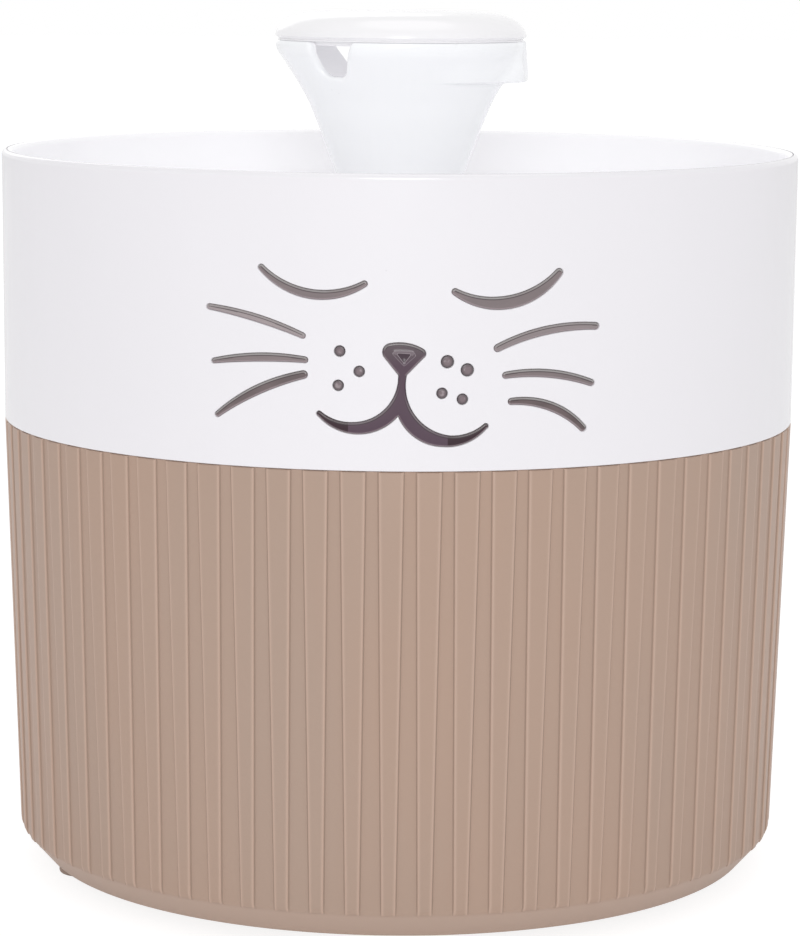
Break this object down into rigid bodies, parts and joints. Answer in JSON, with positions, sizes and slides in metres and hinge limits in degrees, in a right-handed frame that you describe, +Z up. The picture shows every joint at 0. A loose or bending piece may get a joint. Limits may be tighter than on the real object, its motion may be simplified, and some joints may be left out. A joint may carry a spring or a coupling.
{
  "type": "pet water fountain",
  "caption": "Round pet drinking fountain: ribbed reservoir with a cat-face level window, drinking tray, filter, submersible pump and funnel spout with outlets under a lid.",
  "frame": {"origin": "on the floor under the body's axis, at the underside of the foot pads", "axes": "+Z up, the cat face looks along -Y, +X to the right of a viewer in front"},
  "size_m": [0.19, 0.19, 0.2055],
  "materials": {
    "white_gloss": "glossy white moulded plastic",
    "taupe": "satin taupe moulded plastic",
    "smoky_clear": "glossy smoky translucent plastic",
    "foot_rubber": "soft taupe rubber",
    "grey_silicone": "grey silicone",
    "white_satin": "satin white moulded plastic",
    "foam_grey": "open-cell filter foam",
    "carbon": "activated carbon granules in a bag",
    "pad_white": "white non-woven filter wool",
    "pump_black": "black moulded plastic",
    "pump_grey": "dark grey moulded plastic",
    "impeller_white": "off-white moulded plastic",
    "magnet": "dark sintered ferrite",
    "shaft_ceramic": "polished ceramic pin",
    "black_rubber": "black rubber",
    "core_steel": "laminated electrical steel",
    "copper": "enamelled copper winding",
    "clear_silicone": "milky silicone tube"
  },
  "bodies": {
    "base": {"tank": "white_gloss", "tank_sleeve": "taupe", "face_window": "smoky_clear", "foot_pads": "foot_rubber", "cable_grommet": "grey_silicone", "riser_tube": "clear_silicone", "pump_housing": "pump_black", "volute_cover": "pump_black", "intake_cover": "pump_black", "intake_foam": "foam_grey", "impeller_shaft": "shaft_ceramic", "shaft_bushes": "black_rubber", "stator_core": "core_steel", "stator_coil": "copper", "pump_back_plate": "pump_black", "pump_gland": "black_rubber", "suction_cups": "black_rubber"},
    "tray": {"drinking_tray": "white_gloss"},
    "filter": {"filter_basket": "white_satin", "filter_frame": "white_satin", "filter_foam": "foam_grey", "filter_carbon": "carbon", "filter_pad": "pad_white"},
    "cover": {"filter_cover": "white_gloss"},
    "spout": {"spout": "white_gloss"},
    "lid": {"spout_lid": "white_gloss"},
    "rotor": {"impeller": "impeller_white", "rotor_magnet": "magnet"},
    "flow_slider": {"flow_slider": "pump_grey"}
  },
  "joints": [
    {"name": "tray_lift", "type": "slide", "parent": "base", "child": "tray", "axis": [0, 0, 1], "range_m": [0, 0.06]},
    {"name": "filter_lift", "type": "slide", "parent": "tray", "child": "filter", "axis": [0, 0, 1], "range_m": [0, 0.03]},
    {"name": "cover_lift", "type": "slide", "parent": "filter", "child": "cover", "axis": [0, 0, 1], "range_m": [0, 0.03]},
    {"name": "spout_turn", "type": "hinge", "parent": "cover", "child": "spout", "pos_m": [0, 0, 0.1488], "axis": [0, 0, 1], "continuous": true},
    {"name": "lid_lift", "type": "slide", "parent": "spout", "child": "lid", "axis": [0, 0, 1], "range_m": [0, 0.02]},
    {"name": "impeller_spin", "type": "hinge", "parent": "base", "child": "rotor", "pos_m": [0, 0, 0.028], "axis": [0, 1, 0], "continuous": true},
    {"name": "flow_slide", "type": "slide", "parent": "base", "child": "flow_slider", "axis": [1, 0, 0], "range_m": [0, 0.01]}
  ]
}
